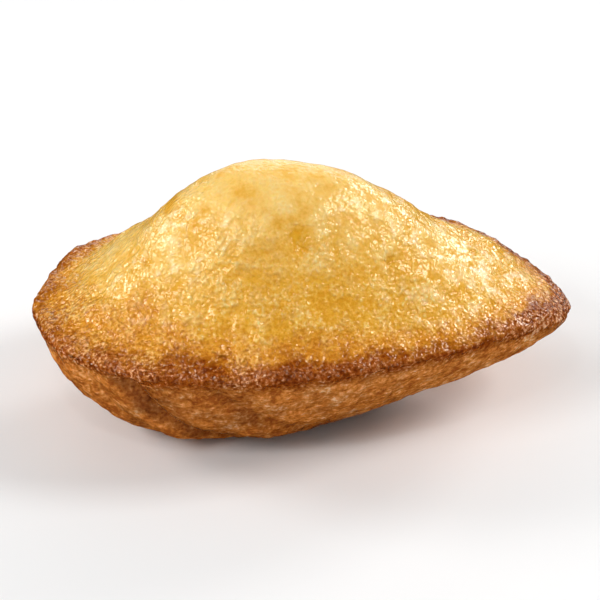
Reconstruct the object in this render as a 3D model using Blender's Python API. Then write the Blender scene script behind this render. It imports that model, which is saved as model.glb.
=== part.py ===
"""A shell-shaped madeleine cake, modelled as one closed solid.

A tall hump rises from the rim on top. Underneath, the belly keeps the shape of its
mould: ribs fan out from near the narrow tip and run up to the rim round the broad end.
+X points to the narrow tip and +Z is up, in metres. The cake rests on the flattened
crests of its ribs, and its origin is on the ground under the middle of its box.
"""

import math

import bmesh
import bpy
import numpy as np

# --- Driving dimensions, in metres ------------------------------------------------------

LENGTH = 0.076
WIDTH = 0.046
BELLY_DEPTH = 0.0183
REST_FLAT = 0.0008  # how far the lowest crests are pressed flat

# The rim seen from above is an egg. Its reach from the middle is a sum of waves round
# the turn: these are the third, fourth and fifth, and the rest follows from the size.
EGG = 0.00125
SQUARENESS = -0.00032
TAPER = -0.00029
RIM_WAVE = 0.00036  # the broad end is softly scalloped
RIM_WAVE_COUNT = 9
RIM_WAVE_SHIFT = math.radians(-121)
MIDDLE_X = -0.0082  # where the belly is deepest

# The rim seen from the side is lower towards both ends, and the tip droops.
RIM_BOW = 0.0006
TIP_DROOP = 0.0043
TIP_DROOP_POWER = 6

# The top: a rounded lip at the rim, a low swell inside it, the hump and its shoulder.
LIP_RISE = 0.0008
LIP_WIDTH = 0.0010
SWELL_RISE = 0.0018
SWELL_POWER = 1.85
HUMP_RISE = 0.0182
HUMP_X = -0.0049
HUMP_Y = -0.0015
HUMP_REACH_BROAD = 0.0206
HUMP_REACH_TIP = 0.0255
HUMP_REACH_SIDE = 0.0131
HUMP_POWER = 2.74
SHOULDER_RISE = 0.0028
SHOULDER_X = 0.0251
SHOULDER_Y = 0.0057
SHOULDER_REACH = 0.0060
HUMP_STOP_POWER = 8  # keeps the hump off the rim

# The belly: how full its bowl is, and how round its edge, on each side.
FULLNESS_SIDE, EDGE_SIDE = 3.1, 1.0
FULLNESS_BROAD, EDGE_BROAD = 3.7, 0.84
FULLNESS_TIP, EDGE_TIP = 2.2, 0.74

# The ribs fan out from a point near the tip, wider apart towards the sides.
RIB_COUNT = 11
RIB_POINT_X = 0.030
RIB_SPREAD = math.radians(4.8)
RIB_WIDENING = math.radians(0.05)
RIB_DEPTH = 0.0014
RIB_DEPTH_POWER = 0.8
RIB_POINT_FADE = 0.35  # share of a rib's length over which it rises from the rib point
RIB_START = 0.0028  # the ribs grow to full depth this far below the rim
RIB_SIDE_FADE = 1.0  # the outermost ribs fade over this many rib widths

# The mesh: lines along the belly follow the ribs.
LINES_PER_RIB = 6
LINES = 112
RINGS = 32


def smooth_step(value):
    """Ease from 0 to 1 as the value goes from 0 to 1."""
    t = np.clip(value, 0.0, 1.0)
    return t * t * (3.0 - 2.0 * t)


# --- The rim ----------------------------------------------------------------------------


def rim_outline(samples=1440):
    """The rim in plan: the outline touched by lines at a given reach round the middle."""
    turn = np.linspace(-math.pi, math.pi, samples, endpoint=False)
    half_length = LENGTH / 2 - SQUARENESS
    half_width = WIDTH / 2 - SQUARENESS
    mean = (half_length + half_width) / 2
    stretch = (half_length - half_width) / 2
    waves = {0: mean, 2: stretch, 3: EGG, 4: SQUARENESS, 5: TAPER}
    reach = sum(size * np.cos(n * turn) for n, size in waves.items())
    change = sum(-n * size * np.sin(n * turn) for n, size in waves.items())
    x = reach * np.cos(turn) - change * np.sin(turn)
    y = reach * np.sin(turn) + change * np.cos(turn)
    x -= (x.max() + x.min()) / 2
    y *= WIDTH / 2 / np.abs(y).max()
    scallop = RIM_WAVE * np.cos(RIM_WAVE_COUNT * turn + RIM_WAVE_SHIFT)
    scallop *= np.clip(-np.cos(turn), 0.0, None)
    return x + scallop * np.cos(turn), y + scallop * np.sin(turn)


def distance_to_rim(start_x, bearing):
    """Distance in plan from a point on the long axis to the rim, along each bearing."""
    x, y = rim_outline()
    bearings = np.arctan2(y, x - start_x)
    distances = np.hypot(x - start_x, y)
    order = np.argsort(bearings)
    return np.interp(bearing, bearings[order], distances[order], period=2 * math.pi)


def rim_height(x):
    """The rim sinks a little towards both ends, and more at the very tip."""
    along = x / (LENGTH / 2)
    droop = TIP_DROOP * np.clip(along, 0.0, 1.0) ** TIP_DROOP_POWER
    return -RIM_BOW * along**2 - droop


# --- The top ----------------------------------------------------------------------------


def hump(x, y):
    """A flat-topped dome, longer towards the tip than towards the broad end."""
    ahead = x - HUMP_X
    reach = np.where(ahead < 0.0, HUMP_REACH_BROAD, HUMP_REACH_TIP)
    out = np.hypot(ahead / reach, (y - HUMP_Y) / HUMP_REACH_SIDE)
    return HUMP_RISE * np.exp(-(out**HUMP_POWER))


def shoulder(x, y):
    """A small swelling on the ridge that runs from the hump down to the tip."""
    out = np.hypot(x - SHOULDER_X, y - SHOULDER_Y) / SHOULDER_REACH
    return SHOULDER_RISE * np.exp(-(out**2))


def top_height(x, y, outness, to_rim):
    """Height over the rim: lip, low swell, hump and shoulder."""
    inward = np.clip((1.0 - outness) * to_rim / LIP_WIDTH, 0.0, 1.0)
    lip = LIP_RISE * np.sqrt(1.0 - (1.0 - inward) ** 2)
    swell = SWELL_RISE * (1.0 - outness**SWELL_POWER)
    inner = 1.0 - outness**HUMP_STOP_POWER
    return lip + swell + (hump(x, y) + shoulder(x, y)) * inner


# --- The belly --------------------------------------------------------------------------


def belly_height(x, y, outness):
    """Height under the rim: a bowl, steep at the broad end and shallow at the tip."""
    lengthwise = (x - MIDDLE_X) / np.maximum(np.hypot(x - MIDDLE_X, y), 1e-9)
    broad = np.clip(-lengthwise, 0.0, 1.0) ** 2
    tip = np.clip(lengthwise, 0.0, 1.0) ** 2
    fullness = FULLNESS_SIDE + (FULLNESS_BROAD - FULLNESS_SIDE) * broad
    fullness += (FULLNESS_TIP - FULLNESS_SIDE) * tip
    edge = EDGE_SIDE + (EDGE_BROAD - EDGE_SIDE) * broad + (EDGE_TIP - EDGE_SIDE) * tip
    return -BELLY_DEPTH * (1.0 - outness**fullness) ** edge


def rib_bearing(rib):
    """Bearing of a rib from the rib point, measured from the broad end. Rib 0 is the
    middle one, and a half is the groove between two."""
    return RIB_SPREAD * rib + RIB_WIDENING * rib**3


def groove_depth(rib, outness, below_rim):
    """How deep the grooves are pressed: round crests, narrow valleys."""
    profile = 1.0 - np.abs(np.cos(math.pi * rib))
    along_rib = outness**RIB_DEPTH_POWER * smooth_step(outness / RIB_POINT_FADE)
    outermost = RIB_COUNT / 2
    side_fade = smooth_step((outermost - np.abs(rib)) / RIB_SIDE_FADE)
    rim_fade = smooth_step(below_rim / RIB_START)
    return RIB_DEPTH * profile * along_rib * side_fade * rim_fade


# --- The cake ---------------------------------------------------------------------------


def ribs_and_bearings(turn):
    """Share a full turn of mesh lines out: the ribs take most of it, the tip the rest.

    The turn is counted from the broad end. Returns each line's rib number and its
    bearing from the rib point, also counted from the broad end.
    """
    outermost = RIB_COUNT / 2
    rib_turn = math.pi * RIB_COUNT * LINES_PER_RIB / LINES
    size = np.abs(turn)
    rib = outermost * size / rib_turn
    past = np.clip((size - rib_turn) / (math.pi - rib_turn), 0.0, 1.0)
    side = rib_bearing(outermost)
    bearing = np.where(size < rib_turn, rib_bearing(rib), side + (math.pi - side) * past)
    return np.sign(turn) * np.minimum(rib, outermost), np.sign(turn) * bearing


def shape_cake(bm):
    """Turn a unit sphere into the cake: its equator becomes the rim."""
    sphere = np.array([v.co for v in bm.verts])
    outness = np.clip(np.hypot(sphere[:, 0], sphere[:, 1]), 0.0, 1.0)
    rib, bearing = ribs_and_bearings(np.arctan2(sphere[:, 1], -sphere[:, 0]))
    bearing = math.pi - bearing

    # Every line ends at its own point of the rim. On top it starts in the middle of the
    # cake, and below it starts at the rib point.
    span = distance_to_rim(RIB_POINT_X, bearing)
    rim_x = RIB_POINT_X + span * np.cos(bearing)
    rim_y = span * np.sin(bearing)
    is_top = sphere[:, 2] > 1e-6
    start_x = np.where(is_top, MIDDLE_X, RIB_POINT_X)
    x = start_x + outness * (rim_x - start_x)
    y = outness * rim_y

    from_middle = np.arctan2(y, x - MIDDLE_X)
    to_rim = distance_to_rim(MIDDLE_X, from_middle)
    spread = np.clip(np.hypot(x - MIDDLE_X, y) / to_rim, 0.0, 1.0)
    is_rim = outness > 1.0 - 1e-6
    spread[is_rim] = 1.0
    above = top_height(x, y, spread, to_rim)
    below = belly_height(x, y, spread)
    z = rim_height(x) + np.where(is_top, above, below)
    for vert, place in zip(bm.verts, np.column_stack([x, y, z])):
        vert.co = place

    # The grooves are pressed in square to the belly.
    bm.normal_update()
    inward = -np.array([v.normal for v in bm.verts])
    depth = groove_depth(rib, outness, np.where(is_top, 0.0, -below))
    places = np.column_stack([x, y, z]) + inward * depth[:, None]

    # The lowest crests are pressed flat, and the cake is stood on the ground.
    ground = places[:, 2].min() + REST_FLAT
    places[:, 2] = np.maximum(places[:, 2], ground)
    places[:, 0] -= (places[:, 0].max() + places[:, 0].min()) / 2
    places[:, 1] -= (places[:, 1].max() + places[:, 1].min()) / 2
    places[:, 2] -= ground
    for vert, place in zip(bm.verts, places):
        vert.co = place


def cake_material():
    """Golden, slightly glossy baked crumb."""
    material = bpy.data.materials.new("baked_crumb")
    material.use_nodes = True
    shader = material.node_tree.nodes["Principled BSDF"]
    shader.inputs["Base Color"].default_value = (0.72, 0.37, 0.09, 1.0)
    shader.inputs["Roughness"].default_value = 0.45
    shader.inputs["Metallic"].default_value = 0.0
    return material


def build_cake(collection):
    bm = bmesh.new()
    bmesh.ops.create_uvsphere(bm, u_segments=LINES, v_segments=RINGS, radius=1.0)
    shape_cake(bm)
    bmesh.ops.recalc_face_normals(bm, faces=bm.faces)
    mesh = bpy.data.meshes.new("cake")
    bm.to_mesh(mesh)
    bm.free()
    mesh.shade_smooth()
    mesh.materials.append(cake_material())
    cake = bpy.data.objects.new("cake", mesh)
    collection.objects.link(cake)
    return cake


for old in list(bpy.data.objects):
    bpy.data.objects.remove(old, do_unlink=True)

parts = bpy.data.collections.new("madeleine_cake")
bpy.context.scene.collection.children.link(parts)
build_cake(parts)
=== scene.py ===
"""The looks of a shell-shaped madeleine: its baked skin, the table, the lights and the camera."""

import math

import bmesh
import bpy
import numpy as np
from mathutils import Matrix, Vector, noise


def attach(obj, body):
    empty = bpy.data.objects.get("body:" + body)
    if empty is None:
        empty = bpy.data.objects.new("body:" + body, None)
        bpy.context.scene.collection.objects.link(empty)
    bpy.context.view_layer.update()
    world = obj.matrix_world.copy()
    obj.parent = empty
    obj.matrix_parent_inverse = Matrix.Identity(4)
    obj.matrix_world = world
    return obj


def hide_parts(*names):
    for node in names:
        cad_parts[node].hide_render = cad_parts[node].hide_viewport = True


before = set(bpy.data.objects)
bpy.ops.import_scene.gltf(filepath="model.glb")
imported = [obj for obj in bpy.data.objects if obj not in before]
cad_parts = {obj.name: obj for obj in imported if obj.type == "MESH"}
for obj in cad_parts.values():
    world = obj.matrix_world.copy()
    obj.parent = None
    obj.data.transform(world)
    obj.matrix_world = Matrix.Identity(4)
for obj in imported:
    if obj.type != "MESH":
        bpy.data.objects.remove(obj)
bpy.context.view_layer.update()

# --- The cake ----------------------------------------------------------------------------
# One piece of buttery sponge, baked in a shell mould: a domed top that rose in the oven
# over an egg-shaped rim, and a belly that keeps the mould's ribs. It has no separate
# parts, so it is one closed skin, worked from the same sizes as its solid.

LENGTH = 0.076
WIDTH = 0.046
BELLY_DEPTH = 0.0183
REST_FLAT = 0.0008

# The rim: an egg in plan, softly scalloped at the broad end, with a drooping tip.
EGG = 0.00125
SQUARENESS = -0.00032
TAPER = -0.00029
RIM_WAVE = 0.00036
RIM_WAVE_COUNT = 9
RIM_WAVE_SHIFT = math.radians(-121)
MIDDLE_X = -0.0082
RIM_BOW = 0.0006
TIP_DROOP = 0.0043
TIP_DROOP_POWER = 6

# The top: a rounded lip, a low swell inside it, the hump and its shoulder.
LIP_RISE = 0.0008
LIP_WIDTH = 0.0010
SWELL_RISE = 0.0018
SWELL_POWER = 1.85
HUMP_RISE = 0.0182
HUMP_X = -0.0049
HUMP_Y = -0.0015
HUMP_REACH_BROAD = 0.0206
HUMP_REACH_TIP = 0.0255
HUMP_REACH_SIDE = 0.0131
HUMP_POWER = 2.74
SHOULDER_RISE = 0.0028
SHOULDER_X = 0.0251
SHOULDER_Y = 0.0057
SHOULDER_REACH = 0.0060
HUMP_STOP_POWER = 8

# The belly: a bowl, full at the sides and the broad end and shallow at the tip.
FULLNESS_SIDE, EDGE_SIDE = 3.1, 1.0
FULLNESS_BROAD, EDGE_BROAD = 3.7, 0.84
FULLNESS_TIP, EDGE_TIP = 2.2, 0.74

# Its skin is a cube rounded to a sphere, so that the faces are even all over. The
# sphere's equator becomes the rim.
CUBE_CUTS = 127
EQUATOR_BAND = 1e-5
RIM_SAMPLES = 2880


def smooth_step(value, low=0.0, high=1.0):
    """Ease from 0 to 1 as the value goes from low to high."""
    t = np.clip((value - low) / (high - low), 0.0, 1.0)
    return t * t * (3.0 - 2.0 * t)


def rim_outline():
    """The rim in plan: the outline touched by lines at a given reach round the middle."""
    turn = np.linspace(-math.pi, math.pi, RIM_SAMPLES, endpoint=False)
    half_length = LENGTH / 2 - SQUARENESS
    half_width = WIDTH / 2 - SQUARENESS
    mean = (half_length + half_width) / 2
    stretch = (half_length - half_width) / 2
    waves = {0: mean, 2: stretch, 3: EGG, 4: SQUARENESS, 5: TAPER}
    reach = sum(size * np.cos(n * turn) for n, size in waves.items())
    change = sum(-n * size * np.sin(n * turn) for n, size in waves.items())
    x = reach * np.cos(turn) - change * np.sin(turn)
    y = reach * np.sin(turn) + change * np.cos(turn)
    x -= (x.max() + x.min()) / 2
    y *= WIDTH / 2 / np.abs(y).max()
    scallop = RIM_WAVE * np.cos(RIM_WAVE_COUNT * turn + RIM_WAVE_SHIFT)
    scallop *= np.clip(-np.cos(turn), 0.0, None)
    return x + scallop * np.cos(turn), y + scallop * np.sin(turn)


def rim_point(share):
    """The rim's point a given share of the way along it, from the broad end round."""
    x, y = rim_outline()
    x, y = np.append(x, x[0]), np.append(y, y[0])
    along = np.append(0.0, np.cumsum(np.hypot(np.diff(x), np.diff(y))))
    along /= along[-1]
    return np.interp(share, along, x), np.interp(share, along, y)


def distance_to_rim(start_x, bearing):
    """Distance in plan from a point on the long axis to the rim, along each bearing."""
    x, y = rim_outline()
    bearings = np.arctan2(y, x - start_x)
    distances = np.hypot(x - start_x, y)
    order = np.argsort(bearings)
    return np.interp(bearing, bearings[order], distances[order], period=2 * math.pi)


def rim_height(x):
    """The rim sinks a little towards both ends, and more at the very tip."""
    along = x / (LENGTH / 2)
    droop = TIP_DROOP * np.clip(along, 0.0, 1.0) ** TIP_DROOP_POWER
    return -RIM_BOW * along**2 - droop


def hump(x, y):
    """A flat-topped dome, longer towards the tip than towards the broad end."""
    ahead = x - HUMP_X
    reach = np.where(ahead < 0.0, HUMP_REACH_BROAD, HUMP_REACH_TIP)
    out = np.hypot(ahead / reach, (y - HUMP_Y) / HUMP_REACH_SIDE)
    return HUMP_RISE * np.exp(-(out**HUMP_POWER))


def shoulder(x, y):
    """A small swelling on the ridge that runs from the hump down to the tip."""
    out = np.hypot(x - SHOULDER_X, y - SHOULDER_Y) / SHOULDER_REACH
    return SHOULDER_RISE * np.exp(-(out**2))


def top_height(x, y, outness, rim_gap):
    """Height over the rim: lip, low swell, hump and shoulder."""
    inward = np.clip(rim_gap / LIP_WIDTH, 0.0, 1.0)
    lip = LIP_RISE * np.sqrt(1.0 - (1.0 - inward) ** 2)
    swell = SWELL_RISE * (1.0 - outness**SWELL_POWER)
    inner = 1.0 - outness**HUMP_STOP_POWER
    return lip + swell + (hump(x, y) + shoulder(x, y)) * inner


def belly_height(x, y, outness):
    """Height under the rim: a bowl, steep at the broad end and shallow at the tip."""
    lengthwise = (x - MIDDLE_X) / np.maximum(np.hypot(x - MIDDLE_X, y), 1e-9)
    broad = np.clip(-lengthwise, 0.0, 1.0) ** 2
    tip = np.clip(lengthwise, 0.0, 1.0) ** 2
    fullness = FULLNESS_SIDE + (FULLNESS_BROAD - FULLNESS_SIDE) * broad
    fullness += (FULLNESS_TIP - FULLNESS_SIDE) * tip
    edge = EDGE_SIDE + (EDGE_BROAD - EDGE_SIDE) * broad + (EDGE_TIP - EDGE_SIDE) * tip
    return -BELLY_DEPTH * (1.0 - outness**fullness) ** edge


def set_places(bm, places):
    """Move each of the skin's points to its place."""
    for vert, place in zip(bm.verts, places):
        vert.co = place
    bm.normal_update()


def outward(bm):
    """The direction straight out of the skin at each of its points."""
    return np.array([v.normal for v in bm.verts])


skin = bmesh.new()
bmesh.ops.create_cube(skin, size=2.0)
bmesh.ops.subdivide_edges(skin, edges=skin.edges[:], cuts=CUBE_CUTS, use_grid_fill=True)
ball = np.tan(np.array([v.co for v in skin.verts]) * math.pi / 4)
ball /= np.linalg.norm(ball, axis=1)[:, None]
is_top = ball[:, 2] > EQUATOR_BAND
is_rim = np.abs(ball[:, 2]) <= EQUATOR_BAND
from_pole = np.arccos(np.clip(np.abs(ball[:, 2]), 0.0, 1.0))
rim_x, rim_y = rim_point(np.arctan2(ball[:, 1], ball[:, 0]) / (2 * math.pi) + 0.5)

# The dome's lines spread evenly over it, and the belly's crowd together at its steep wall.
outness = np.where(is_top, math.sqrt(2.0) * np.sin(from_pole / 2), np.sin(from_pole))
outness = np.where(is_rim, 1.0, np.clip(outness, 0.0, 1.0))
x = MIDDLE_X + outness * (rim_x - MIDDLE_X)
y = outness * rim_y
toward = np.arctan2(y, x - MIDDLE_X)
rim_gap = (1.0 - outness) * distance_to_rim(MIDDLE_X, toward)
above = top_height(x, y, outness, rim_gap)
below = belly_height(x, y, outness)
depth = np.where(is_top, 0.0, -below)
places = np.column_stack([x, y, rim_height(x) + np.where(is_top, above, below)])
set_places(skin, places)

# The mould's ribs fan out from near the tip. They are pressed in square to the belly,
# with round crests and narrow grooves, and fade under the rim and at the sides.
RIB_COUNT = 11
RIB_POINT_X = 0.030
RIB_SPREAD = 4.8  # degrees
RIB_WIDENING = 0.05  # degrees
RIB_DEPTH = 0.0014
RIB_DEPTH_POWER = 0.8
RIB_POINT_FADE = 0.35
RIB_START = 0.0028
RIB_SIDE_FADE = 1.0
RIB_SAMPLES = 400

# How well each groove came out of the mould, from the near side round to the far one.
GROOVE_SHARES = [1.0, 0.45, 1.45, 0.35, 0.65, 0.9, 0.9, 1.0, 0.85, 1.05, 0.8, 1.0]

# One groove on the near side is bent towards the broad end.
BENT_RIB, BENT_REACH, BENT_BY = -3.2, 0.8, 0.28

bearing = np.degrees(np.arctan2(y, RIB_POINT_X - x))
rib_line = np.linspace(-RIB_COUNT, RIB_COUNT, RIB_SAMPLES)
rib = np.interp(bearing, RIB_SPREAD * rib_line + RIB_WIDENING * rib_line**3, rib_line)
rib -= BENT_BY * np.exp(-(((rib - BENT_RIB) / BENT_REACH) ** 2))
rib_length = distance_to_rim(RIB_POINT_X, np.arctan2(y, x - RIB_POINT_X))
along_rib = np.clip(np.hypot(x - RIB_POINT_X, y) / rib_length, 0.0, 1.0)
groove = 1.0 - np.abs(np.cos(math.pi * rib))
groove *= along_rib**RIB_DEPTH_POWER * smooth_step(along_rib / RIB_POINT_FADE)
groove *= smooth_step((RIB_COUNT / 2 - np.abs(rib)) / RIB_SIDE_FADE)
groove *= smooth_step(depth / RIB_START)
which = np.clip(np.floor(rib).astype(int) + len(GROOVE_SHARES) // 2, 0, len(GROOVE_SHARES) - 1)
groove *= np.array(GROOVE_SHARES)[which]
places -= outward(skin) * (RIB_DEPTH * groove)[:, None]
set_places(skin, places)

# It stands on its lowest crests, which its weight presses flat.
GROUND = -BELLY_DEPTH + REST_FLAT
places[:, 2] -= GROUND
places[:, 0] -= (rim_outline()[0].max() + rim_outline()[0].min()) / 2

# Where the batter rose or sank as it set, on top and on the belly: each place in plan, its
# reach and its rise, in millimetres. Less than nothing is a sunken place.
TOP_SWELLINGS = [
    (-37.0, 3.5, 4.5, -0.25),
    (-30.0, 13.0, 5.0, 0.3),
    (-22.5, 8.0, 5.0, 1.25),
    (-26.5, 8.0, 4.0, 0.5),
    (-18.0, 1.0, 6.0, 0.25),
    (-7.0, 1.0, 5.0, 0.25),
    (10.0, 0.0, 2.6, -0.2),
    (11.5, 0.0, 1.0, 0.15),
    (13.0, -0.5, 1.0, -0.25),
    (15.5, 0.5, 1.6, 0.25),
    (17.5, -0.5, 2.0, -0.35),
    (22.5, 15.0, 6.5, 0.75),
    (23.5, 7.5, 5.0, -0.9),
    (31.5, 7.0, 5.0, -0.45),
]
BELLY_SWELLINGS = [
    (-34.0, -6.5, 6.0, 0.65),
    (-17.5, -14.0, 5.0, 0.55),
    (-6.0, -15.0, 5.0, 0.5),
    (12.0, -13.0, 6.0, -0.4),
    (31.0, -8.5, 8.0, 0.65),
]

# Where the rim's grain is bumpier and more of it is pale, partly as painted glints, along the rim
# and at the tip: each place in plan and its reach, in millimetres.
GLINT_AND_GRAIN_PLACES = [
    (-31.0, -13.0, 3.6),
    (-24.0, -18.0, 3.2),
    (-34.0, -4.0, 4.0),
    (-12.0, -21.0, 2.5),
    (36.0, -3.0, 5.0),
    (30.0, -11.0, 3.0),
]

# Where a sheen of the lamps is painted on the top as paler, smoother skin: each place in plan and
# its reach, in millimetres, and how pale it is.
PAINTED_SHEEN_PLACES = [
    (-19.0, -7.0, 7.0, 0.90),
    (8.0, -6.0, 8.5, 1.00),
    (19.0, -4.0, 7.5, 0.85),
    (-6.0, -10.0, 5.5, 0.60),
    (-25.0, 2.0, 7.5, 1.00),
]

# Where a bubble burst on top and sank: each place in plan and its reach, in millimetres.
BURST_BUBBLES = [
    (-2.0, -10.0, 1.3),
    (-1.5, -11.0, 1.1),
    (11.0, -10.0, 0.9),
    (-22.0, -6.0, 1.0),
    (24.0, -2.0, 0.6),
    (-7.0, 9.0, 1.2),
    (14.0, 8.0, 1.0),
]
BURST_DEPTH = 0.00050

# All over it are low lumps and ripples, on top smooth hollows where bubbles sank and an
# orange-peel grain, along the rim blisters, and underneath the grain of the crumb.
LUMP_SIZE, LUMP_RISE = 0.0090, 0.00025
RIPPLE_SIZE, RIPPLE_RISE = 0.0030, 0.00016
PEEL_SIZE, PEEL_RISE = 0.00110, 0.00013
HOLLOW_SIZE, HOLLOW_DEPTH = 0.0026, 0.00016
BLISTER_SIZE, BLISTER_RISE = 0.0011, 0.00024
CRUMB_SIZE, CRUMB_RISE = 0.0014, 0.00012

# The edges of the browning and of the belly wander, in broad bends and in fine ones.
WANDER_SIZE, FINE_WANDER_SIZE = 0.0042, 0.0014

# Each finer layer of unevenness is half as wide and half as high, and each seed looks at
# another place in it.
LAYER_DROP, LAYER_SHRINK = 1.0, 2.0
SEED_STEPS = (17.3, 5.1, 9.7)


def unevenness(sites, size, detail, seed):
    """Smooth noise, about -1 to 1, with lumps about the given size across."""
    shift = Vector([seed * step for step in SEED_STEPS])
    return np.array([
        noise.fractal(p / size + shift, LAYER_DROP, LAYER_SHRINK, detail) for p in sites
    ])


def outness_from(x, y, reach, side):
    """How far the skin is from a place on one side of the cake: 1 at the place's reach.

    The place is given in plan, and the skin itself gives its height.
    """
    off = np.hypot(places[:, 0] - x / 1000, places[:, 1] - y / 1000)
    middle = places[np.where(side, off, np.inf).argmin()]
    return np.linalg.norm(places - middle, axis=1) * 1000 / reach


sites = [Vector(p) for p in places]
lumps = unevenness(sites, LUMP_SIZE, 2, seed=1)
ripples = unevenness(sites, RIPPLE_SIZE, 2, seed=2)
peel = unevenness(sites, PEEL_SIZE, 2, seed=3)
hollows = unevenness(sites, HOLLOW_SIZE, 1, seed=4)
blisters = unevenness(sites, BLISTER_SIZE, 2, seed=5)
crumb = unevenness(sites, CRUMB_SIZE, 3, seed=6)
wander = unevenness(sites, WANDER_SIZE, 3, seed=7)
fine_wander = unevenness(sites, FINE_WANDER_SIZE, 2, seed=8)

# Between what two values each kind of skin eases in: inside the rim, by how far in it is;
# the pale crown, by how high over the rim, in two steps; sunken hollows, by their noise.
INSIDE_EASE = (0.0010, 0.0045)
CROWN_FOOT_EASE, CROWN_FOOT_SHARE = (0.0060, 0.0130), 0.3
CROWN_TOP_EASE, CROWN_TOP_SHARE = (0.0135, 0.0190), 0.7
HOLLOW_EASE = (0.12, 0.60)

# The rim's blisters ease out inward on top and downward below, where the shell eases in.
RIM_INWARD_EASE = (0.0010, 0.0035)
RIM_DOWNWARD_EASE = (0.0004, 0.0014)
SHELL_EASE, SHELL_WANDER = (0.0003, 0.0024), 0.0007

inside = np.where(is_top, smooth_step(rim_gap, *INSIDE_EASE), 0.0)
crown_and_sheen = CROWN_FOOT_SHARE * smooth_step(above, *CROWN_FOOT_EASE)
crown_and_sheen = crown_and_sheen + CROWN_TOP_SHARE * smooth_step(above, *CROWN_TOP_EASE)
crown_and_sheen = np.where(is_top, crown_and_sheen, 0.0)
hollow = smooth_step(hollows, *HOLLOW_EASE) * inside
rim_zone = 1.0 - np.where(
    is_top, smooth_step(rim_gap, *RIM_INWARD_EASE), smooth_step(depth, *RIM_DOWNWARD_EASE)
)
shell_zone = np.where(is_top, 0.0, smooth_step(depth + SHELL_WANDER * wander, *SHELL_EASE))

# The crown is smoother than the rest of the top, and so is the skin in a hollow.
relief = LUMP_RISE * lumps + RIPPLE_RISE * ripples * (1.0 - 0.3 * crown_and_sheen)
relief += PEEL_RISE * peel * inside * (1.0 - 0.75 * crown_and_sheen) * (1.0 - 0.8 * hollow)
relief -= HOLLOW_DEPTH * hollow * (1.0 - 0.5 * crown_and_sheen)
relief += BLISTER_RISE * blisters * rim_zone
relief += CRUMB_RISE * crumb * shell_zone
for side, swellings in ((is_top, TOP_SWELLINGS), (~is_top, BELLY_SWELLINGS)):
    for x_mm, y_mm, reach, rise in swellings:
        relief += rise / 1000 * np.exp(-(outness_from(x_mm, y_mm, reach, side) ** 2))
# A painted sheen: these places take the crown's paler, smoother skin.
for x_mm, y_mm, reach, paleness in PAINTED_SHEEN_PLACES:
    pale = np.exp(-(outness_from(x_mm, y_mm, reach, is_top) ** 2))
    crown_and_sheen = np.maximum(crown_and_sheen, paleness * pale * is_top)
glint_and_grain = np.zeros(len(places))
for x_mm, y_mm, reach in GLINT_AND_GRAIN_PLACES:
    glint_and_grain = np.maximum(glint_and_grain, np.exp(-(outness_from(x_mm, y_mm, reach, is_top) ** 2)))
for x_mm, y_mm, reach in BURST_BUBBLES:
    sunken = np.exp(-(outness_from(x_mm, y_mm, reach, is_top) ** 3))
    relief -= BURST_DEPTH * sunken
    crown_and_sheen = crown_and_sheen * (1.0 - sunken)
    hollow = np.maximum(hollow, sunken)
places += outward(skin) * relief[:, None]
places[:, 2] = np.maximum(places[:, 2], 0.0)
set_places(skin, places)
bmesh.ops.recalc_face_normals(skin, faces=skin.faces)

# Browning: gold on the dome, then amber, then deep brown along the rim. By bearing round
# the cake, in degrees from the tip: how far in from the rim the brown reaches there, in
# millimetres, and how deep it is.
BROWNING = [
    (-180, 6.2, 0.82),
    (-150, 7.4, 0.92),
    (-125, 6.2, 0.98),
    (-90, 4.4, 1.05),
    (-60, 4.3, 1.05),
    (-30, 4.4, 0.82),
    (-8, 4.8, 1.15),
    (5, 4.8, 1.15),
    (25, 3.0, 1.0),
    (60, 1.6, 0.85),
    (120, 1.6, 0.8),
    (150, 5.0, 0.90),
    (180, 6.2, 0.82),
]

# It eases out between two multiples of that reach, along an edge that wanders.
BROWN_EASE, BROWN_WANDER, BROWN_FINE_WANDER = (0.05, 1.75), 0.30, 0.14

bearings, reaches, strengths = zip(*BROWNING)
brown_reach = np.interp(np.degrees(toward), bearings, reaches) / 1000
strength = np.interp(np.degrees(toward), bearings, strengths)
spread = rim_gap / brown_reach + BROWN_WANDER * wander + BROWN_FINE_WANDER * fine_wander
toast = np.where(is_top, strength * (1.0 - smooth_step(spread, *BROWN_EASE)), 1.0)

# Shade painted on the belly: darkest along one near rib, in the grooves and low down, and paler
# towards both ends: how much each of these does, and where it eases in.
SHADED_RIB, SHADED_RIB_SHARE = -3.9, 0.33
GROOVE_SHARE, GROOVE_EASE = 0.46, (0.0, 0.50)
LOW_SHARE, LOW_EASE = 0.2, (0.5, 1.0)
TIP_PALENESS, TIP_EASE = 0.35, (0.004, 0.026)
BROAD_PALENESS, BROAD_EASE = 0.25, (0.026, 0.034)

painted_shade = SHADED_RIB_SHARE * np.exp(-((rib - SHADED_RIB) ** 2))
painted_shade += GROOVE_SHARE * smooth_step(groove, *GROOVE_EASE)
painted_shade += LOW_SHARE * smooth_step(depth / BELLY_DEPTH, *LOW_EASE)
painted_shade -= TIP_PALENESS * smooth_step(places[:, 0], *TIP_EASE)
painted_shade -= BROAD_PALENESS * smooth_step(-places[:, 0], *BROAD_EASE)

mesh = bpy.data.meshes.new("madeleine")
skin.to_mesh(mesh)
skin.free()
mesh.shade_smooth()
for name, amounts in {
    "toast": toast,
    "shell": shell_zone,
    "painted_shade": painted_shade,
    "hollow": hollow,
    "crown_and_sheen": crown_and_sheen,
    "glint_and_grain": glint_and_grain,
}.items():
    layer = mesh.attributes.new(name, "FLOAT", "POINT")
    layer.data.foreach_set("value", amounts.astype(np.float32))

# The skin laid flat, for a finish to be drawn on: the top above, the belly below.
FLAT_HALF_LENGTH, FLAT_HALF_WIDTH = 0.49, 0.24
FLAT_MIDDLE, FLAT_TOP, FLAT_BELLY = 0.5, 0.75, 0.25

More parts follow.
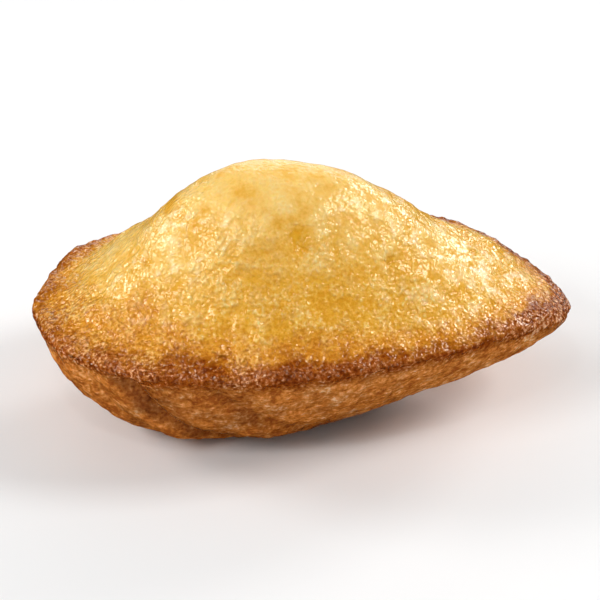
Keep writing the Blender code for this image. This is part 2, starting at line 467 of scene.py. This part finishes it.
corners = np.zeros(len(mesh.loops), dtype=np.int32)
mesh.loops.foreach_get("vertex_index", corners)
faces = corners.reshape(-1, 4)
face_is_top = (ball[faces, 2].sum(axis=1) > 0.0).repeat(4)
out_share = from_pole / (math.pi / 2)
flat_x = (MIDDLE_X + out_share * (rim_x - MIDDLE_X)) / (LENGTH / 2)
flat_y = out_share * rim_y / (WIDTH / 2)
flat = np.column_stack([
    FLAT_MIDDLE + FLAT_HALF_LENGTH * flat_x[corners],
    np.where(face_is_top, FLAT_TOP, FLAT_BELLY) + FLAT_HALF_WIDTH * flat_y[corners],
])
mesh.uv_layers.new(name="OFBake").data.foreach_set("uv", flat.ravel())

madeleine = bpy.data.objects.new("madeleine", mesh)
bpy.context.scene.collection.objects.link(madeleine)
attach(madeleine, "root")
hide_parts("cake")


# The Mix node's sockets for colours: its share, the two colours, and what comes out.
MIX_SHARE, MIX_NONE, MIX_FULL, MIX_OUT = 0, 6, 7, 2


class Tone:
    """A socket among a material's nodes, which adds and multiplies as a number does."""

    def __init__(self, tree, socket=None):
        self.tree = tree
        self.socket = socket

    def node(self, kind, settings, values, output=0):
        """Add a node: its settings first, then the values or links of its sockets."""
        made = self.tree.nodes.new(kind)
        for name, setting in settings.items():
            setattr(made, name, setting)
        for name, value in values.items():
            if isinstance(value, Tone):
                self.tree.links.new(value.socket, made.inputs[name])
            else:
                made.inputs[name].default_value = value
        return Tone(self.tree, made.outputs[output])

    def work(self, operation, *values):
        """The result of one operation on numbers or sockets."""
        return self.node("ShaderNodeMath", {"operation": operation}, dict(enumerate(values)))

    def __add__(self, other):
        return self.work("ADD", self, other)

    def __sub__(self, other):
        return self.work("SUBTRACT", self, other)

    def __rsub__(self, other):
        return self.work("SUBTRACT", other, self)

    def __mul__(self, other):
        return self.work("MULTIPLY", self, other)

    __radd__ = __add__
    __rmul__ = __mul__

    def ease(self, low, high):
        """0 below low, 1 above high, and a smooth step between."""
        return self.node(
            "ShaderNodeMapRange",
            {"interpolation_type": "SMOOTHSTEP"},
            {"Value": self, "From Min": low, "From Max": high},
        )

    def blend(self, none, full):
        """A colour that goes from none to full as this value goes from 0 to 1."""
        values = {MIX_SHARE: self, MIX_NONE: none, MIX_FULL: full}
        return self.node("ShaderNodeMix", {"data_type": "RGBA"}, values, MIX_OUT)


def colour(red, green, blue):
    """An opaque colour, as the sockets take it."""
    return (red, green, blue, 1.0)


baked = bpy.data.materials.new("baked_skin")
baked.use_nodes = True
crust = baked.node_tree.nodes["Principled BSDF"]
paint = Tone(baked.node_tree)
place = paint.node("ShaderNodeTexCoord", {}, {}, "Object")


def amount(name):
    """One of the amounts stored on the skin above."""
    return paint.node("ShaderNodeAttribute", {"attribute_name": name}, {}, "Fac")


def grain(size, detail, roughness):
    """Noise from 0 to 1, with grains about the given size across."""
    values = {"Vector": place, "Scale": 1.0 / size, "Detail": detail, "Roughness": roughness}
    return paint.node("ShaderNodeTexNoise", {}, values)


def pebbles(size, softness):
    """Rounded bumps about the given size across: 1 at a bump's middle."""
    values = {"Vector": place, "Scale": 1.0 / size, "Smoothness": softness}
    cells = paint.node("ShaderNodeTexVoronoi", {"feature": "SMOOTH_F1"}, values, "Distance")
    return 1.0 - cells


# Each part of the crust has four tones: its pores, its plain skin, its bright grains and its
# palest specks, which are partly pale grains of butter and sugar and partly painted glints.
# The crown's tones also give the painted sheen.
CROWN_AND_SHEEN = [colour(0.89, 0.53, 0.098), colour(0.98, 0.625, 0.172),
         colour(1.00, 0.71, 0.275), colour(1.00, 0.78, 0.400)]
GOLD = [colour(0.74, 0.335, 0.019), colour(0.87, 0.445, 0.050),
        colour(0.97, 0.62, 0.160), colour(1.00, 0.76, 0.290)]
AMBER = [colour(0.56, 0.185, 0.010), colour(0.76, 0.31, 0.027),
         colour(0.90, 0.44, 0.080), colour(1.00, 0.56, 0.150)]
BROWN = [colour(0.20, 0.031, 0.001), colour(0.33, 0.070, 0.0035),
         colour(0.48, 0.134, 0.023), colour(0.80, 0.370, 0.155)]
SCORCHED = [colour(0.13, 0.020, 0.002), colour(0.28, 0.062, 0.007),
            colour(0.58, 0.230, 0.090), colour(0.90, 0.540, 0.330)]
SHELL = [colour(0.38, 0.092, 0.009), colour(0.68, 0.225, 0.032),
         colour(0.94, 0.420, 0.130), colour(1.00, 0.660, 0.360)]
# The belly's dark tones, for its darker blotches and its painted shade.
SHELL_DARK_AND_SHADED = [colour(0.15, 0.028, 0.001), colour(0.28, 0.070, 0.008),
          colour(0.38, 0.125, 0.024), colour(0.56, 0.230, 0.070)]
HOLLOW_SKIN = colour(0.82, 0.40, 0.022)

# The grain is drawn at four sizes: the grains, the coarser ones of the belly, clusters of
# grains, and whole patches.
speckle = grain(size=0.00052, detail=2.0, roughness=0.6)
coarse = grain(size=0.00150, detail=3.0, roughness=0.55)
cluster = grain(size=0.0034, detail=3.0, roughness=0.6)
patch = grain(size=0.0080, detail=3.0, roughness=0.55)
crown_and_sheen_amount = amount("crown_and_sheen")
hollow_amount = amount("hollow")
toast_amount = amount("toast")
shell_amount = amount("shell")
glint_and_grain_amount = amount("glint_and_grain")

# It is weaker on the crown and where a sheen is painted, and stronger on the belly and where
# glints are painted along the rim, which also get more of the palest specks.
fineness = 0.85 - 0.50 * crown_and_sheen_amount + 0.35 * shell_amount + 0.60 * glint_and_grain_amount
grains = speckle + 0.55 * shell_amount * (coarse - speckle)
grains = 0.5 + (grains - 0.5) * fineness + 0.35 * (cluster - 0.5) + 0.35 * (patch - 0.5)
grains = grains + 0.04 * glint_and_grain_amount

# Between what two values of the grain each tone gives way to the next.
PLAIN_FROM, BRIGHT_FROM, SPECK_AND_GLINT_FROM = (0.34, 0.52), (0.50, 0.65), (0.63, 0.72)


def mottled(pore, plain, bright, speck_and_glint):
    """A colour that runs with the grain from the pores to the palest specks, which are partly
    painted glints.
    """
    tone = grains.ease(*PLAIN_FROM).blend(pore, plain)
    tone = grains.ease(*BRIGHT_FROM).blend(tone, bright)
    return grains.ease(*SPECK_AND_GLINT_FROM).blend(tone, speck_and_glint)


# Between what two amounts of browning each stage takes over: amber, brown and scorched.
AMBER_FROM, BROWN_FROM, SCORCHED_FROM = (0.03, 0.65), (0.58, 1.00), (0.90, 1.15)

toasting = toast_amount + 0.45 * (grain(size=0.0010, detail=3.0, roughness=0.6) - 0.5)
# The top is paler on the crown and where a sheen is painted.
paleness = crown_and_sheen_amount + 2.0 * crown_and_sheen_amount * (cluster - 0.5) + (cluster - 0.5)
top_colour = paleness.blend(mottled(*GOLD), mottled(*CROWN_AND_SHEEN))
top_colour = (hollow_amount * (0.8 - 0.6 * crown_and_sheen_amount)).blend(top_colour, HOLLOW_SKIN)
top_colour = toasting.ease(*AMBER_FROM).blend(top_colour, mottled(*AMBER))
top_colour = toasting.ease(*BROWN_FROM).blend(top_colour, mottled(*BROWN))
top_colour = toasting.ease(*SCORCHED_FROM).blend(top_colour, mottled(*SCORCHED))

# The belly runs from its shell tones to its dark tones in blotches and where its shade is painted.
blotches = 2.4 * (cluster - 0.5) + 1.6 * (patch - 0.5)
shade = 0.08 + blotches + amount("painted_shade")
shell_colour = shade.blend(mottled(*SHELL), mottled(*SHELL_DARK_AND_SHADED))
skin_colour = shell_amount.blend(top_colour, shell_colour)
paint.tree.links.new(skin_colour.socket, crust.inputs["Base Color"])

# Fine bumps wet with butter, each of which catches the lamps. They are lower on the crown, where a
# sheen is painted and on the belly, and higher along the browned rim and at the places of grains
# and painted glints.
BUMP_HEIGHT = 0.00036

bumpiness = 0.85 - 0.50 * crown_and_sheen_amount + 0.20 * toast_amount - 0.60 * shell_amount + 0.5 * glint_and_grain_amount
bumpiness = bumpiness * (0.45 + cluster.ease(0.38, 0.60))
height = grain(size=0.00052, detail=0.3, roughness=0.5) + 0.5 * pebbles(size=0.00062, softness=0.6)
blisters_amount = 0.4 * toast_amount * (1.0 - shell_amount)
height = height * bumpiness + blisters_amount * grain(size=0.00036, detail=0.0, roughness=0.5)
raised = {"Strength": 1.0, "Distance": BUMP_HEIGHT, "Height": height}
paint.tree.links.new(paint.node("ShaderNodeBump", {}, raised).socket, crust.inputs["Normal"])
roughness = 0.14 + 0.12 * crown_and_sheen_amount + 0.12 * shell_amount
paint.tree.links.new(roughness.socket, crust.inputs["Roughness"])
crust.inputs["Specular IOR Level"].default_value = 0.62
crust.inputs["Specular Tint"].default_value = colour(1.0, 0.86, 0.66)

# Butter lies over it as a thin coat: in small pools on the gold, and on the grains that are
# scorched most.
pools = grain(size=0.0015, detail=2.0, roughness=0.5) + 0.6 * (cluster - 0.5)
pools = pools.ease(0.50, 0.62)
butter = pools * (0.4 * (1 - toast_amount) + 0.25 * toasting.ease(1.00, 1.20))
butter = butter * (1 - shell_amount) * (1 - 0.9 * hollow_amount)
paint.tree.links.new(butter.socket, crust.inputs["Coat Weight"])
crust.inputs["Coat Roughness"].default_value = 0.32
crust.inputs["Coat IOR"].default_value = 1.9

# A little light passes through the crumb and comes out redder.
crust.inputs["Subsurface Weight"].default_value = 0.20
crust.inputs["Subsurface Radius"].default_value = (1.0, 0.45, 0.15)
crust.inputs["Subsurface Scale"].default_value = 0.0012
mesh.materials.append(baked)

# --- The table ---------------------------------------------------------------------------
# A plain pale board, matt and much wider than the view. It takes the cake's shadow, and
# isn't mirrored in its wet skin.

TABLE_SIZE = 3.0

board = bmesh.new()
bmesh.ops.create_grid(board, x_segments=1, y_segments=1, size=TABLE_SIZE)
board_mesh = bpy.data.meshes.new("table")
board.to_mesh(board_mesh)
board.free()
table = bpy.data.objects.new("table", board_mesh)
bpy.context.scene.collection.objects.link(table)
matt_white = bpy.data.materials.new("matt_white")
matt_white.use_nodes = True
matt = matt_white.node_tree.nodes["Principled BSDF"]
matt.inputs["Base Color"].default_value = colour(0.86, 0.86, 0.86)
matt.inputs["Roughness"].default_value = 0.8
board_mesh.materials.append(matt_white)
table.visible_glossy = False

# --- The lights --------------------------------------------------------------------------
# Two soft boxes on each side, the farther one low, rake across the skin and make it
# glisten. A small one high in front adds glints, and wide ones light it from behind and
# fill its front. The white room lights it evenly, and isn't mirrored in the wet skin.


def soft_box(name, azimuth, elevation, distance, size, watts):
    """A square lamp that faces the cake, placed by degrees and by metres.

    Azimuth 0 is in front and 90 on the tip's side.
    """
    data = bpy.data.lights.new(name, "AREA")
    data.size = size
    data.energy = watts
    lamp = bpy.data.objects.new(name, data)
    bpy.context.scene.collection.objects.link(lamp)
    around, high = math.radians(azimuth), math.radians(elevation)
    out = Vector((math.sin(around), -math.cos(around), 0.0)) * math.cos(high)
    back = out + Vector((0.0, 0.0, math.sin(high)))
    lamp.location = back * distance
    lamp.rotation_mode = "QUATERNION"
    lamp.rotation_quaternion = (-back).to_track_quat("-Z", "Y")
    lamp.visible_camera = False
    return lamp


soft_box("left_box", -60, 38, 0.8, 0.25, 2.1)
soft_box("far_left_box", -112, 26, 0.8, 0.25, 2.65)
soft_box("right_box", 85, 42, 0.8, 0.25, 2.65)
soft_box("far_right_box", 130, 22, 0.8, 0.25, 2.5)
soft_box("small_box", -22, 58, 0.8, 0.06, 0.3)
soft_box("back_box", 170, 12, 1.0, 0.60, 1.8)
soft_box("front_fill", -10, 40, 1.1, 0.80, 1.1).visible_glossy = False

room = bpy.data.worlds.new("white_room")
room.use_nodes = True
room.node_tree.nodes["Background"].inputs["Color"].default_value = colour(1.0, 1.0, 1.0)
room.node_tree.nodes["Background"].inputs["Strength"].default_value = 0.28
bpy.context.scene.world = room
room.cycles_visibility.glossy = False
bpy.context.scene.view_settings.view_transform = "Standard"

# --- The camera --------------------------------------------------------------------------
# It looks down on the near side of the cake, with the tip to the right.

CAMERA_AZIMUTH = math.radians(-7.24)
CAMERA_ELEVATION = math.radians(31.75)
CAMERA_DISTANCE = 0.450
CAMERA_LENS = 191.6
AIM_LEFT, AIM_DOWN = 0.00035, 0.00123

across = Vector((math.cos(CAMERA_AZIMUTH), math.sin(CAMERA_AZIMUTH), 0.0))
ahead = Vector((-math.sin(CAMERA_AZIMUTH), math.cos(CAMERA_AZIMUTH), 0.0))
sight = ahead * math.cos(CAMERA_ELEVATION) - Vector((0.0, 0.0, math.sin(CAMERA_ELEVATION)))
upward = across.cross(sight)
lens = bpy.data.cameras.new("camera")
lens.sensor_width = 36.0
lens.lens = CAMERA_LENS
lens.clip_start = 0.01
camera = bpy.data.objects.new("camera", lens)
bpy.context.scene.collection.objects.link(camera)
aim = Vector((0.0, 0.0, -GROUND)) - AIM_LEFT * across - AIM_DOWN * upward
camera.location = aim - CAMERA_DISTANCE * sight
camera.rotation_mode = "QUATERNION"
camera.rotation_quaternion = Matrix((across, upward, -sight)).transposed().to_quaternion()
bpy.context.scene.camera = camera
